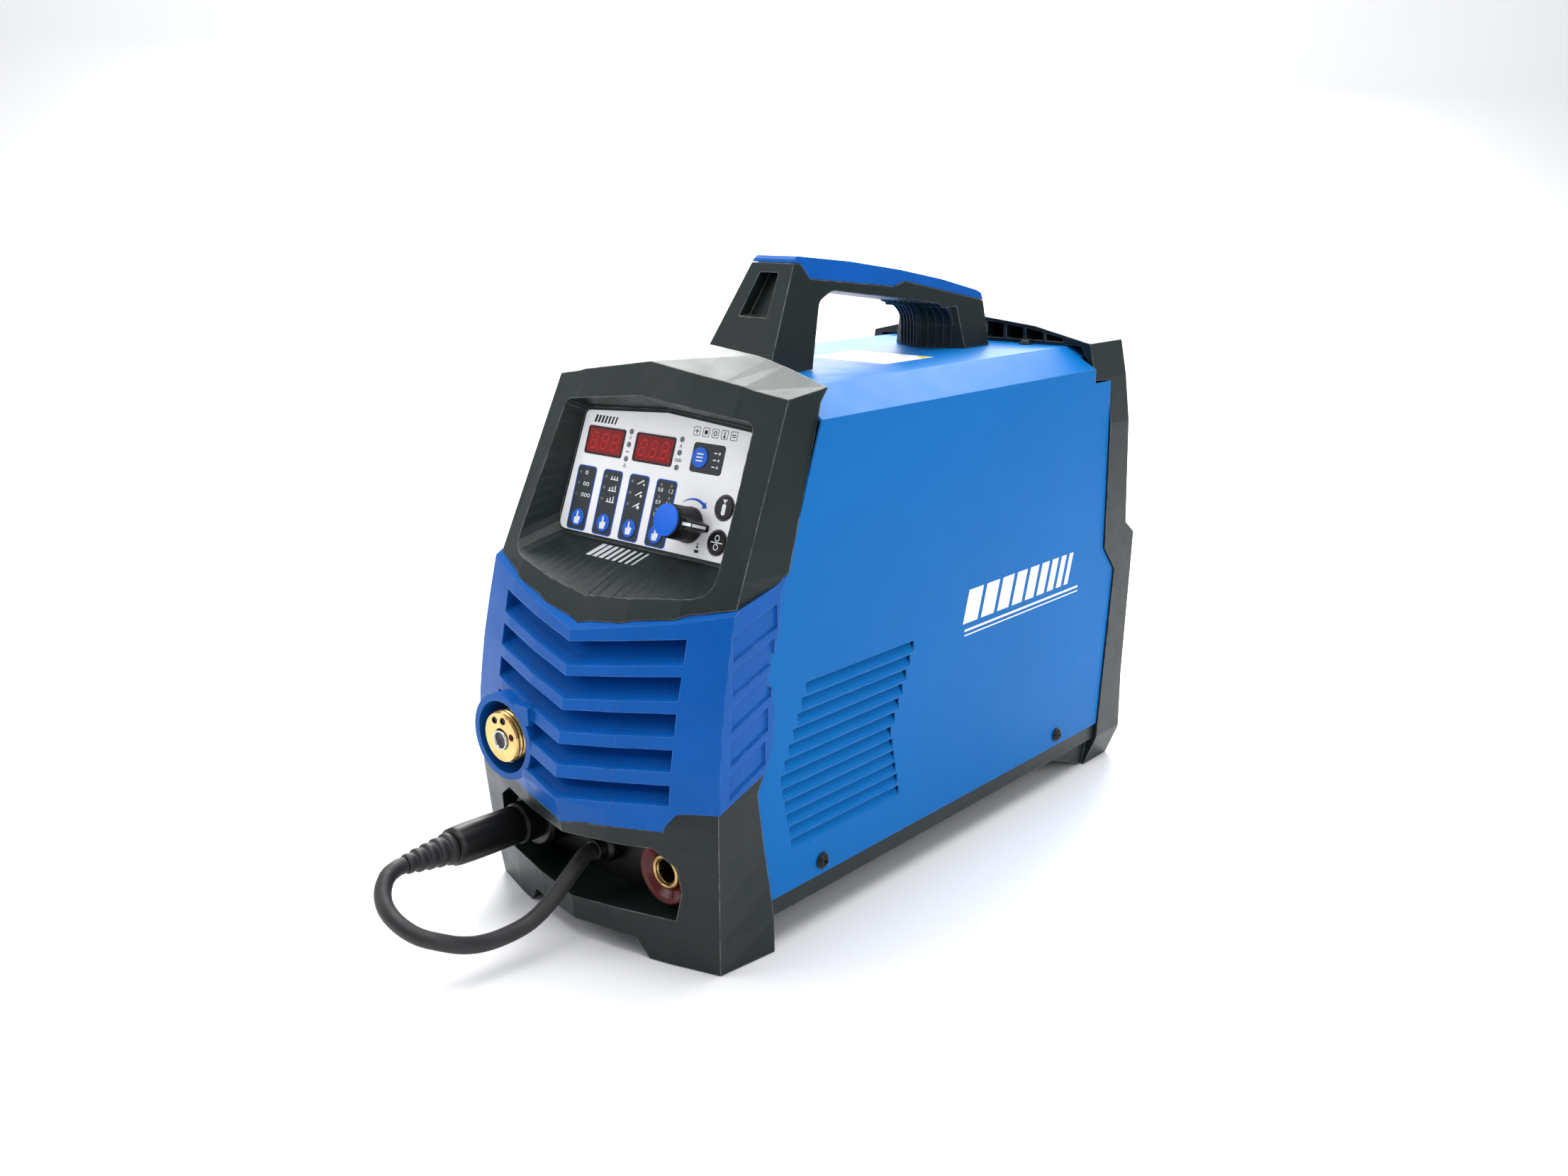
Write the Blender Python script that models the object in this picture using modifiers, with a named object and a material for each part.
"""Portable inverter MIG welding machine, built as an assembly of separate parts.

Frame: X across the machine, -Y the control end, +Z up, origin on the floor under
the middle of the machine.  Every length is in metres.
"""
import math

import bmesh
import bpy
from mathutils import Matrix, Vector

# ---------------------------------------------------------------- driving sizes
MM = 0.001
GAP = 0.0003                 # between parts that touch

HALF_WIDTH = 0.0934          # plastic end mouldings
COVER_HALF = 0.0920          # painted cover, outer face
SHEET = 0.0012               # steel sheet
COVER_BOTTOM = 0.0294
CHAMFER_LOW = 0.2770
CHAMFER_HIGH = 0.2903        # also the top of the cover
TOP_HALF = 0.0689
ROOF_BACK = -0.1040          # rear wall of the front bezel
FRONT_WALL = 0.0130          # thickness of the mouldings at the louvres
SIDE_WALL = 0.0035

PANEL_TILT = math.radians(19.0)
PANEL_TOP = Vector((0.0, -0.1285, 0.2733))
OVERLAY_THICK = 0.0009
BUTTON_TRAVEL = 0.0005
MODE_BUTTONS = (-0.0526, -0.0314, -0.0106, 0.0100)
MODE_BUTTON_DOWN = -0.0642
MENU_BUTTON = (0.0302, -0.0205)
SIDE_BUTTONS = {"gas_test_button": -0.0437, "wire_inch_button": -0.0617}
SIDE_BUTTON_X = 0.0544
KNOB_SPOT = (0.0332, -0.0558)
DISPLAY_CENTRES = {"display_left": -0.0436, "display_right": -0.0046}
DISPLAY_SIZE = (0.0294, 0.0150)
DISPLAY_DOWN = -0.0202

SOCKET_X = 0.0520
SOCKET_Z = 0.0470
SOCKET_FACE = -0.1918        # front of the socket flanges
SOCKET_PLATE = (-0.1805, -0.1780)
LEAD_RADIUS = 0.0045
GLAND_Z = 0.0440

TORCH_Z = 0.1010             # centre of the torch connector, and of the wire line
SHROUD_FRONT = -0.2112
SHROUD_RADIUS = 0.0243
TORCH_PIN_HOLES = ((-0.0050, 0.0088), (0.0022, 0.0098), (0.0090, 0.0020))   # two trigger pins, gas

DIVIDER_X = -0.0160          # left face of the sheet between the two bays
SPOOL_CENTRE = Vector((-0.0520, 0.0860, 0.1560))
SPOOL_RADIUS = 0.0980
DRIVE_Y = -0.0800
ROLL_RADIUS = 0.0140
ROLL_GROOVE = 0.0007

REAR_PANEL = (0.1960, 0.1980)
FAN_CENTRE = Vector((0.0340, 0.1836, 0.1900))
FAN_RADIUS = 0.0435

PART = bpy.data.collections.new("mig_welding_machine")
CUTTERS = bpy.data.collections.new("cutters")


# ---------------------------------------------------------------- building tools
def clear_scene():
    for obj in list(bpy.data.objects):
        bpy.data.objects.remove(obj, do_unlink=True)
    bpy.context.scene.collection.children.link(PART)
    bpy.context.scene.collection.children.link(CUTTERS)


def material(name, colour, roughness, metallic=0.0):
    mat = bpy.data.materials.new(name)
    mat.use_nodes = True
    shader = mat.node_tree.nodes["Principled BSDF"]
    shader.inputs["Base Color"].default_value = (*colour, 1.0)
    shader.inputs["Roughness"].default_value = roughness
    shader.inputs["Metallic"].default_value = metallic
    mat.diffuse_color = (*colour, 1.0)
    return mat


def mm(*points):
    """Points given in millimetres, as metres."""
    return [tuple(value * MM for value in point) for point in points]


def mirrored(half):
    """A closed outline from its right half, which starts and ends on x = 0 or beside it."""
    left = [(-x, z) for x, z in reversed(half) if abs(x) > 1e-9]
    return list(half) + left


def add_object(name, mesh, mat=None):
    """Put a mesh in the part, or among the cutters when it has no material."""
    obj = bpy.data.objects.new(name, mesh)
    if mat is None:
        CUTTERS.objects.link(obj)
        obj.hide_render = True
        obj.display_type = "WIRE"
    else:
        PART.objects.link(obj)
        mesh.materials.append(mat)
    return obj


def finish_mesh(name, bm, mat=None):
    bmesh.ops.remove_doubles(bm, verts=bm.verts, dist=1e-6)
    bmesh.ops.recalc_face_normals(bm, faces=bm.faces)
    mesh = bpy.data.meshes.new(name)
    bm.to_mesh(mesh)
    bm.free()
    mesh.shade_smooth()
    mesh.set_sharp_from_angle(angle=math.radians(35))
    return add_object(name, mesh, mat)


def box(name, low, high, mat=None):
    """A block between two corners."""
    low, high = Vector(low), Vector(high)
    bm = bmesh.new()
    size = Matrix.Diagonal((*(high - low), 1.0))
    bmesh.ops.create_cube(bm, size=1.0, matrix=Matrix.Translation((low + high) / 2) @ size)
    return finish_mesh(name, bm, mat)


AXES = {
    "X": Matrix.Rotation(math.radians(90), 4, "Y"),
    "Y": Matrix.Rotation(math.radians(-90), 4, "X"),
    "Z": Matrix.Identity(4),
}


def rod(name, centre, radius, length, axis="Y", mat=None, sides=24, end_radius=None):
    """A cylinder or cone about its centre, lying along an axis letter or a rotation matrix."""
    turn = AXES[axis] if isinstance(axis, str) else axis
    bm = bmesh.new()
    tip = radius if end_radius is None else end_radius
    bmesh.ops.create_cone(
        bm, cap_ends=True, segments=sides, radius1=radius, radius2=tip, depth=length,
        matrix=Matrix.Translation(centre) @ turn,
    )
    return finish_mesh(name, bm, mat)


def flat_outline(name, outline, depth, placing, mat=None):
    """A flat outline with an even thickness: a filled 2D curve made into a mesh."""
    curve = bpy.data.curves.new(name, "CURVE")
    curve.dimensions = "2D"
    curve.fill_mode = "BOTH"
    curve.extrude = depth / 2
    spline = curve.splines.new("POLY")
    spline.points.add(len(outline) - 1)
    for point, (u, v) in zip(spline.points, outline):
        point.co = (u, v, 0.0, 1.0)
    spline.use_cyclic_u = True
    drawn = bpy.data.objects.new(name, curve)
    bpy.context.scene.collection.objects.link(drawn)
    graph = bpy.context.evaluated_depsgraph_get()
    mesh = bpy.data.meshes.new_from_object(drawn.evaluated_get(graph))
    bpy.data.objects.remove(drawn, do_unlink=True)
    bm = bmesh.new()
    bm.from_mesh(mesh)
    bpy.data.meshes.remove(mesh)
    bmesh.ops.transform(bm, matrix=placing, verts=bm.verts)
    return finish_mesh(name, bm, mat)


def front_prism(name, outline, y_low, y_high, mat=None):
    """An outline drawn in X and Z, as thick as y_low to y_high."""
    placing = Matrix.Translation((0, (y_low + y_high) / 2, 0)) @ Matrix.Rotation(math.radians(90), 4, "X")
    return flat_outline(name, outline, y_high - y_low, placing, mat)


def side_prism(name, outline, x_low, x_high, mat=None):
    """An outline drawn in Y and Z, as thick as x_low to x_high."""
    turn = Matrix(((0, 0, 1, 0), (1, 0, 0, 0), (0, 1, 0, 0), (0, 0, 0, 1)))
    placing = Matrix.Translation(((x_low + x_high) / 2, 0, 0)) @ turn
    return flat_outline(name, outline, x_high - x_low, placing, mat)


def loft(name, sections, mat=None):
    """A closed solid through sections with the same number of points."""
    bm = bmesh.new()
    rings = [[bm.verts.new(point) for point in section] for section in sections]
    count = len(rings[0])
    for lower, upper in zip(rings, rings[1:]):
        for i in range(count):
            j = (i + 1) % count
            bm.faces.new((lower[i], lower[j], upper[j], upper[i]))
    bm.faces.new(rings[0])
    bm.faces.new(rings[-1])
    bmesh.ops.triangulate(bm, faces=[face for face in bm.faces if len(face.verts) == 4])
    return finish_mesh(name, bm, mat)


def turned(name, profile, centre, direction, mat=None, steps=32):
    """A turned shape: (radius, height) pairs spun about a direction."""
    mesh = bpy.data.meshes.new(name)
    turning = sum(r0 * z1 - r1 * z0 for (r0, z0), (r1, z1) in zip(profile, profile[1:] + profile[:1]))
    points = [(radius, 0.0, height) for radius, height in (profile if turning < 0 else profile[::-1])]
    edges = [(i, i + 1) for i in range(len(points) - 1)]
    if profile[0][0] > 1e-9:
        edges.append((len(points) - 1, 0))
    mesh.from_pydata(points, edges, [])
    obj = add_object(name, mesh, mat)
    obj.location = centre
    obj.rotation_mode = "QUATERNION"
    obj.rotation_quaternion = Vector((0, 0, 1)).rotation_difference(Vector(direction))
    screw = obj.modifiers.new("turn", "SCREW")
    screw.axis = "Z"
    screw.angle = math.tau
    screw.steps = steps
    screw.render_steps = steps
    screw.use_merge_vertices = True
    screw.merge_threshold = 1e-6
    return obj


def boolean(obj, tool, operation):
    """Combine an object with a tool solid, which stays among the cutters."""
    if tool.name not in CUTTERS.objects:
        PART.objects.unlink(tool)
        CUTTERS.objects.link(tool)
        tool.hide_render = True
        tool.display_type = "WIRE"
    step = obj.modifiers.new(operation.lower(), "BOOLEAN")
    step.operation = operation
    step.solver = "EXACT"
    step.object = tool


def cut(obj, *tools):
    for tool in tools:
        boolean(obj, tool, "DIFFERENCE")


def join(obj, *tools):
    for tool in tools:
        boolean(obj, tool, "UNION")


def keep(obj, tool):
    boolean(obj, tool, "INTERSECT")


def merged(name, *solids):
    """One cutter mesh out of solids that don't touch."""
    bm = bmesh.new()
    for solid in solids:
        bm.from_mesh(solid.data)
        bpy.data.objects.remove(solid, do_unlink=True)
    return finish_mesh(name, bm)


def set_origin(obj, point):
    """Move an object's origin to a world point and leave its shape where it is."""
    offset = Vector(point) - obj.location
    obj.data.transform(Matrix.Translation(-(obj.rotation_euler.to_matrix().inverted() @ offset)))
    obj.location = point


def rounded(outline, radii, steps=3):
    """An outline with its corners rounded; one radius for each corner."""
    points = []
    count = len(outline)
    for i, radius in enumerate(radii):
        corner = Vector(outline[i])
        if radius == 0:
            points.append(tuple(corner))
            continue
        before = (Vector(outline[i - 1]) - corner).normalized()
        after = (Vector(outline[(i + 1) % count]) - corner).normalized()
        half = before.angle(after) / 2
        reach = radius / math.tan(half)
        centre = corner + (before + after).normalized() * radius / math.sin(half)
        start = corner + before * reach - centre
        sweep = start.angle_signed(corner + after * reach - centre)
        for step in range(steps + 1):
            turn = Matrix.Rotation(-sweep * step / steps, 2)
            points.append(tuple(centre + turn @ start))
    return points


def lerp(pairs, at):
    """A straight-line reading of (position, value) pairs that rise in position."""
    if at <= pairs[0][0]:
        return pairs[0][1]
    for (low, a), (high, b) in zip(pairs, pairs[1:]):
        if at <= high:
            return a + (b - a) * (at - low) / (high - low)
    return pairs[-1][1]


# ---------------------------------------------------------------- front mouldings
# The nose is a V in plan with bowed halves: a centre ridge, two corners, and sides that
# run back.  Each table gives a position at each height, in millimetres.
CASE = {
    "ridge": mm((0, -209.9), (23.8, -209.9), (62.9, -214.6), (68.4, -215.5), (83.1, -218.9),
                (173.2, -198.2), (301.9, -141.0), (340, -124.1)),
    "corner_x": mm((0, 88.9), (20, 91.0), (40, 92.9), (70, 94.9), (92, 94.2), (173, 91.4),
                   (191.5, 91.0), (289.9, 85.7), (340, 83.0)),
    "corner_y": mm((0, -188.1), (20, -190.2), (40, -191.9), (70, -193.7), (92, -192.8),
                   (173, -183.5), (191.5, -175.0), (289.9, -129.5), (340, -107.2)),
    "bow": mm((0, 2.3), (110, 2.3), (180, 4.0), (200, 4.0), (290, 1.0)),
}
GRILLE = {
    "ridge": mm((60, -214.0), (68.4, -215.5), (83.1, -218.9), (112.2, -213.9), (147, -207.1),
                (171, -202.4), (220, -193.0)),
    "corner_x": mm((60, 95.0), (95, 96.0), (105, 96.0), (145, 94.6), (175, 93.4), (220, 92.2)),
    "corner_y": mm((60, -193.9), (95, -193.5), (115, -192.4), (145, -188.1), (175, -181.6),
                   (195, -176.4), (220, -169.0)),
    "bow": mm((60, 2.3), (220, 2.3)),
}
SIDE_X = mm((0, 93.4), (204.5, 93.4), (293.8, 88.3), (340, 85.7))
SIDE_Y = mm((0, -152), (150, -151), (204.5, -139), (293.8, -106.4), (340, -90.0))
LEVELS = [z * MM for z in (0, 20, 40, 62.9, 70, 83.1, 95, 112.2, 130, 147, 171, 191.5, 204.5, 289.9, 301.9)]
REAR_EDGE = mm((-104.4, 291.0), (-109.6, 285.0), (-139, 204.5), (-144.5, 195.6), (-146.6, 175.7), (-154.6, 154.5),
               (-149.9, 135.1), (-152.1, 115.9), (-156.1, 108.5), (-163.9, 93.8), (-160, 66.1),
               (-155.9, 44.3), (-152, 20), (-151.8, 0))
# Seams: (x, z) along the front from the ridge to the corner, then (y, z) along the side.
UPPER_SEAM = (mm((0, 173.4), (30, 178.1), (60, 183.8), (91, 192.0)), mm((-139, 204.5), (-80, 212)))
LOWER_SEAM = (mm((0, 68.4), (65.3, 78.2), (72.3, 88.6), (94.2, 92.6)), mm((-152, 108.5), (-80, 112)))
# The bezel's roof, from the centre outwards, at y = -141 mm and at y = -97 mm.
ROOF_AT_FRONT = mm((0, 301.9), (48, 293.3), (60, 291.2), (93, 285.1), (120, 278.2))
ROOF_AT_BACK = mm((0, 310.0), (48, 305.1), (60, 302.1), (93, 292.6), (120, 284.8))
BOW_STATIONS = (0.0, 0.34, 0.68, 1.0)


def face_y(x, z, shape=CASE):
    """Where the bowed V front lies at a given place."""
    ridge, corner = lerp(shape["ridge"], z), lerp(shape["corner_y"], z)
    share = min(abs(x) / lerp(shape["corner_x"], z), 1.0)
    return ridge + (corner - ridge) * share - 4 * lerp(shape["bow"], z) * share * (1 - share)


def side_face_x(y, z, shape=CASE):
    """Where the side facet lies, between the corner and the straight side."""
    corner_x, corner_y = lerp(shape["corner_x"], z), lerp(shape["corner_y"], z)
    side_x, side_y = lerp(SIDE_X, z), lerp(SIDE_Y, z)
    share = min(max((y - corner_y) / (side_y - corner_y), 0.0), 1.0)
    return corner_x + (side_x - corner_x) * share


def nose_section(z, shape, front=0.0, side=0.0, back=-0.088):
    corner_x = lerp(shape["corner_x"], z)
    half = []
    for share in BOW_STATIONS:
        half.append(((corner_x - side) * share, face_y(corner_x * share, z, shape) + front))
    side_x, side_y = lerp(SIDE_X, z) - side, lerp(SIDE_Y, z) + front * 0.5
    half += [(side_x, side_y), (side_x, back)]
    left = [(-x, y) for x, y in reversed(half[1:])]
    return [(x, y, z) for x, y in half + left]


def nose(name, mat=None, shape=CASE, front=0.0, side=0.0, low=0.0, high=0.330):
    levels = [low] + [z for z in LEVELS if low < z < high] + [high]
    return loft(name, [nose_section(z, shape, front, side) for z in levels], mat)


def seam_zone(name, seam, far_z, lift=0.0):
    """Everything between a seam that runs round the nose and a far level."""
    front, side = seam
    path = [(x, face_y(x, z), z) for x, z in front] + [(side_face_x(y, z), y, z) for y, z in side]
    ring = path + [(-x, y, z) for x, y, z in reversed(path[1:])]
    rings = []
    for scale, level in ((1.25, far_z), (1.25, None), (0.60, None)):
        rings.append([(x * scale, (y + 0.08) * scale - 0.08, (z + lift) if level is None else level)
                      for x, y, z in ring])
    return loft(name, rings)


def behind_nose(name, back=0.02, clear=0.0):
    """Everything behind the mouldings' stepped rear edge."""
    edge = [(y - clear, z) for y, z in REAR_EDGE]
    top = [(back, -0.02), (back, 0.36), (ROOF_BACK - clear, 0.36), (ROOF_BACK - clear, REAR_EDGE[0][1])]
    return side_prism(name, top + edge + [(edge[-1][0], -0.02)], -0.12, 0.12)


def panel_point(x, down, out=0.0):
    """A point on the control panel's plane: across, up the slope, and out of it."""
    up = Vector((0, math.sin(PANEL_TILT), math.cos(PANEL_TILT)))
    normal = Vector((0, -math.cos(PANEL_TILT), math.sin(PANEL_TILT)))
    return PANEL_TOP + Vector((x, 0, 0)) + up * down + normal * out


PANEL_NORMAL = panel_point(0, 0, 1) - panel_point(0, 0, 0)
PANEL_TURN = Matrix.Rotation(math.radians(90) - PANEL_TILT, 4, "X")

WINDOW_RIM = mm((0, 284.8), (71.5, 276.5), (77.0, 196.0), (0, 186.6))
PANEL_RIM = mm((0, 2.0), (66.0, -2.2), (70.0, -73.5), (0, -73.5))
RIM_ROUND = (0, 0.006, 0.010, 0)


def window_pocket():
    """The sunken window: from the rim on the V front back to the flat panel."""
    radii = list(RIM_ROUND) + [RIM_ROUND[2], RIM_ROUND[1]]
    rim = rounded(mirrored(WINDOW_RIM), radii)
    flat = rounded(mirrored(PANEL_RIM), radii)
    stations = []
    for i in range(len(rim)):
        ends = [Vector((*rim[j % len(rim)], *flat[j % len(rim)])) for j in (i, i + 1)]
        parts = math.ceil((ends[1] - ends[0]).xy.length / 0.007)
        stations += [ends[0].lerp(ends[1], part / parts) for part in range(parts)]
    floor = [panel_point(x, down) for _, _, x, down in stations]
    outside = []
    for (x, z, _, _), far in zip(stations, floor):
        near = Vector((x, face_y(x, z), z))
        outside.append(far + (near - far) * (-0.260 - far.y) / (near.y - far.y))
    return loft("window_pocket", [floor, outside])


def roof_cutter():
    """The space above the bezel's arched roof, which rises towards the back."""
    rings = []
    for y in (-0.230, -0.141, -0.097, -0.060):
        share = (y + 0.141) / 0.044
        half = []
        for (x, z_front), (_, z_rear) in zip(ROOF_AT_FRONT, ROOF_AT_BACK):
            half.append((x, y, z_front + (z_rear - z_front) * share))
        half.append((half[-1][0], y, 0.40))
        rings.append(half + [(-x, y, z) for x, y, z in reversed(half[1:])])
    return loft("roof_cutter", rings)


def front_bezel(mat):
    bezel = nose("front_bezel", mat, low=0.150)
    keep(bezel, seam_zone("bezel_zone", UPPER_SEAM, 0.40, GAP))
    cut(bezel, roof_cutter(), behind_nose("bezel_back"), window_pocket())
    hollow = [panel_point(0, 0.0127, -0.0040), panel_point(0, -0.100, -0.0040)]
    outline = [(point.y, point.z) for point in hollow] + mm((-90, 160), (-90, 286))
    cut(bezel, side_prism("bezel_hollow", outline, -0.0845, 0.0845))
    arch = mirrored(mm((0, 303), (40, 300), (70, 292), (84.5, 284)))
    cut(bezel, front_prism("roof_hollow", arch, -0.1175, ROOF_BACK - 0.0025))
    cut(bezel, panel_holes("bezel_holes", 0.0004, -0.012, 0.004))
    return bezel


def panel_holes(name, clearance, low, high):
    """Round holes for the buttons and the knob stem, as one cutter."""
    middle = (low + high) / 2
    holes = []
    for spot, radius in button_spots().values():
        holes.append(rod("hole", panel_point(*spot, middle), radius + clearance, high - low, PANEL_TURN, sides=20))
    holes.append(rod("hole", panel_point(*KNOB_SPOT, middle), 0.0036, high - low, PANEL_TURN, sides=20))
    return merged(name, *holes)


def button_spots():
    spots = {}
    for number, x in enumerate(MODE_BUTTONS, start=1):
        spots[f"mode_button_{number}"] = ((x, MODE_BUTTON_DOWN), 0.0049)
    spots["menu_button"] = (MENU_BUTTON, 0.0055)
    for name, down in SIDE_BUTTONS.items():
        spots[name] = ((SIDE_BUTTON_X, down), 0.0058)
    return spots


def grille_slots():
    """Five V slots; each narrows inwards over a sloping ledge."""
    slots = []
    for index in range(5):
        top = 165.0 - 17.7 * index
        height = 12.8 - 0.42 * index
        reach = 70.0 - 0.3 * index
        rise = 11.6 - 0.5 * index
        rings = []
        for share in (-1.0, -0.66, -0.33, 0.0, 0.33, 0.66, 1.0):
            x, z_top = reach * share, top + rise * abs(share)
            z_low = z_top - height
            ring = []
            sill = ((14.0, height - 2.4), (10.5, height - 4.9), (7.0, 4.6), (3.5, 1.9), (-4.0, -1.5))
            outline = [(-4.0, z_top), (24.0, z_top - 0.4), (24.0, z_top - 2.4)]
            for depth, z in outline + [(depth, z_low + lift) for depth, lift in sill]:
                ring.append((x * MM, face_y(x * MM, z * MM, GRILLE) + depth * MM, z * MM))
            rings.append(ring)
        slots.append(loft("slot", rings))
    return merged("grille_slots", *slots)


def side_pockets():
    """Shallow slanted panels pressed into both side facets of the grille."""
    pockets = []
    for sign in (1, -1):
        for index in range(5):
            low = 98.0 + 17.4 * index
            front, back = -186.5 + 1.6 * index, -158.0 + 2.5 * index
            outline = [(front, low), (back, low + 10.5), (back, low + 23.0), (front, low + 12.5)]
            rings = []
            for depth in (-0.0014, 0.004):
                ring = []
                for y, z in mm(*outline):
                    ring.append((sign * (side_face_x(y, z, GRILLE) + depth), y, z))
                rings.append(ring)
            pockets.append(loft("pocket", rings))
    return merged("side_pockets", *pockets)


def grille_ledge():
    """The region over the grille's bevelled top edge, which stands proud of the bezel."""
    rings = []
    for x, z in [(-0.100, UPPER_SEAM[0][-1][1])] + [(-x, z) for x, z in reversed(UPPER_SEAM[0][1:])]:
        rings.append((x, z))
    rings += UPPER_SEAM[0] + [(0.100, UPPER_SEAM[0][-1][1])]
    sections = []
    for x, z in rings:
        y = face_y(x, z)
        ring = [(0.0010, 0.0005), (-0.0200, -0.0110), (-0.0200, 0.0300), (0.0010, 0.0300)]
        sections.append([(x, y + out, z + up) for out, up in ring])
    return loft("grille_ledge", sections)


def front_grille(mat):
    grille = nose("front_grille", mat, GRILLE, low=0.060, high=0.215)
    keep(grille, seam_zone("grille_top", UPPER_SEAM, 0.030))
    keep(grille, seam_zone("grille_foot", LOWER_SEAM, 0.260, GAP))
    cut(grille, grille_ledge(), behind_nose("grille_back"))
    cut(grille, nose("grille_hollow", None, GRILLE, FRONT_WALL, SIDE_WALL, 0.050, 0.220))
    cut(grille, grille_slots(), side_pockets())
    ring_length = 0.0320
    ring_middle = (-SOCKET_X, SHROUD_FRONT + ring_length / 2, TORCH_Z)
    join(grille, rod("shroud_ring", ring_middle, SHROUD_RADIUS, ring_length, sides=40))
    join(grille, box("shroud_tab", (-0.040, -0.2112, 0.1130), (-0.0285, -0.190, 0.1235)))
    cut(grille, rod("shroud_bore", (-SOCKET_X, -0.200, TORCH_Z), 0.0205, 0.090, sides=40))
    return grille


def front_base(mat):
    base = nose("front_base", mat, high=0.112)
    keep(base, seam_zone("base_zone", LOWER_SEAM, -0.02))
    cut(base, behind_nose("base_back"))
    cut(base, nose("base_top_hollow", front=0.0060, side=SIDE_WALL, low=0.0705, high=0.130))
    recess = mirrored(mm((0, 62.5), (43, 65.5), (58, 67.5), (70.7, 58.9), (72.5, 45.5), (67.2, 27.7), (0, 23.7)))
    cut(base, front_prism("socket_recess", recess, -0.240, -0.130))
    cut(base, box("base_hollow", (-0.0790, SOCKET_PLATE[0] - GAP, 0.0215), (0.0790, -0.130, 0.0760)))
    arch = mirrored(mm((0, 10.3), (41.0, 10.3), (48.9, 0), (48.9, -10)))
    cut(base, front_prism("foot_arch", arch, -0.240, -0.130))
    shroud = rod("shroud_room", (-SOCKET_X, -0.195, TORCH_Z), SHROUD_RADIUS + GAP, 0.050, sides=40)
    cut(base, shroud)
    cut(base, box("under_hollow", (-0.0840, -0.1845, -0.01), (0.0840, -0.130, 0.0172)))
    return base


# ---------------------------------------------------------------- control panel
def control_overlay(mat):
    radii = [0, 0.003, 0.006, 0.006, 0.003]
    half = mm((0, 0), (63.5, -4.2), (67.0, -71.5))
    outline = rounded(mirrored(half), radii)
    middle = PANEL_TOP + PANEL_NORMAL * (GAP + OVERLAY_THICK / 2)
    overlay = flat_outline("control_overlay", outline, OVERLAY_THICK, Matrix.Translation(middle) @ PANEL_TURN, mat)
    cut(overlay, panel_holes("overlay_holes", 0.0004, -0.004, 0.004))
    openings = []
    for centre in DISPLAY_CENTRES.values():
        openings.append(display_block("opening", centre, -0.004, 0.004, 0.0004))
    cut(overlay, merged("overlay_openings", *openings))
    return overlay


def display_block(name, centre, low, high, grow=0.0, mat=None):
    """A rounded window block; its height is measured out of the panel plane."""
    wide, tall = DISPLAY_SIZE[0] / 2 + grow, DISPLAY_SIZE[1] / 2 + grow
    corners = [(-wide, -tall), (wide, -tall), (wide, tall), (-wide, tall)]
    placing = Matrix.Translation(panel_point(centre, DISPLAY_DOWN, (low + high) / 2)) @ PANEL_TURN
    return flat_outline(name, rounded(corners, [0.0012] * 4, 2), high - low, placing, mat)


def panel_buttons(blue, black):
    for name, (spot, radius) in button_spots().items():
        mat = black if name in SIDE_BUTTONS else blue
        low, high = -0.0045, 0.0018
        centre = panel_point(*spot, (low + high) / 2)
        button = rod(name, (0, 0, 0), radius, high - low, PANEL_TURN, mat, sides=20)
        button.location = centre


def control_board(mat):
    low = panel_point(0, -0.069, -0.0085)
    high = panel_point(0, -0.005, -0.0085)
    middle = (low + high) / 2
    bm = bmesh.new()
    size = Matrix.Diagonal((0.130, (high - low).length, 0.0016, 1.0))
    bmesh.ops.create_cube(bm, size=1.0, matrix=Matrix.Translation(middle) @ PANEL_TURN @ size)
    board = finish_mesh("control_board", bm, mat)
    cut(board, rod("stem_hole", panel_point(*KNOB_SPOT, -0.0085), 0.0036, 0.010, PANEL_TURN, sides=16))
    return board


def encoder_and_knob(steel, black, blue):
    """Encoder stem that pushes in, with a pointer knob and its coloured cap."""
    stem = rod("encoder_stem", (0, 0, 0), 0.0030, 0.0200, PANEL_TURN, steel, sides=16)
    stem.location = panel_point(*KNOB_SPOT, 0.0020)
    base, face = 0.0018, 0.0185
    knob = rod("knob", (0, 0, 0), 0.0096, face - base, PANEL_TURN, black, 32, end_radius=0.0088)
    knob.location = panel_point(*KNOB_SPOT, (base + face) / 2)
    pointer = [(0.0060, -0.0034), (0.0150, -0.0016), (0.0150, 0.0016), (0.0060, 0.0034)]
    place = Matrix.Translation(panel_point(*KNOB_SPOT, (base + face) / 2 - 0.001))
    wing = flat_outline("pointer_wing", pointer, face - base - 0.002, place @ PANEL_TURN)
    join(knob, wing)
    bore_middle = panel_point(*KNOB_SPOT, 0.0064)
    cut(knob, rod("knob_bore", bore_middle, 0.0033, 0.0122, PANEL_TURN, sides=16))
    cap = rod("knob_cap", (0, 0, 0), 0.0084, 0.0012, PANEL_TURN, blue, 32, end_radius=0.0078)
    cap.location = panel_point(*KNOB_SPOT, face + GAP + 0.0006)


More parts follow.
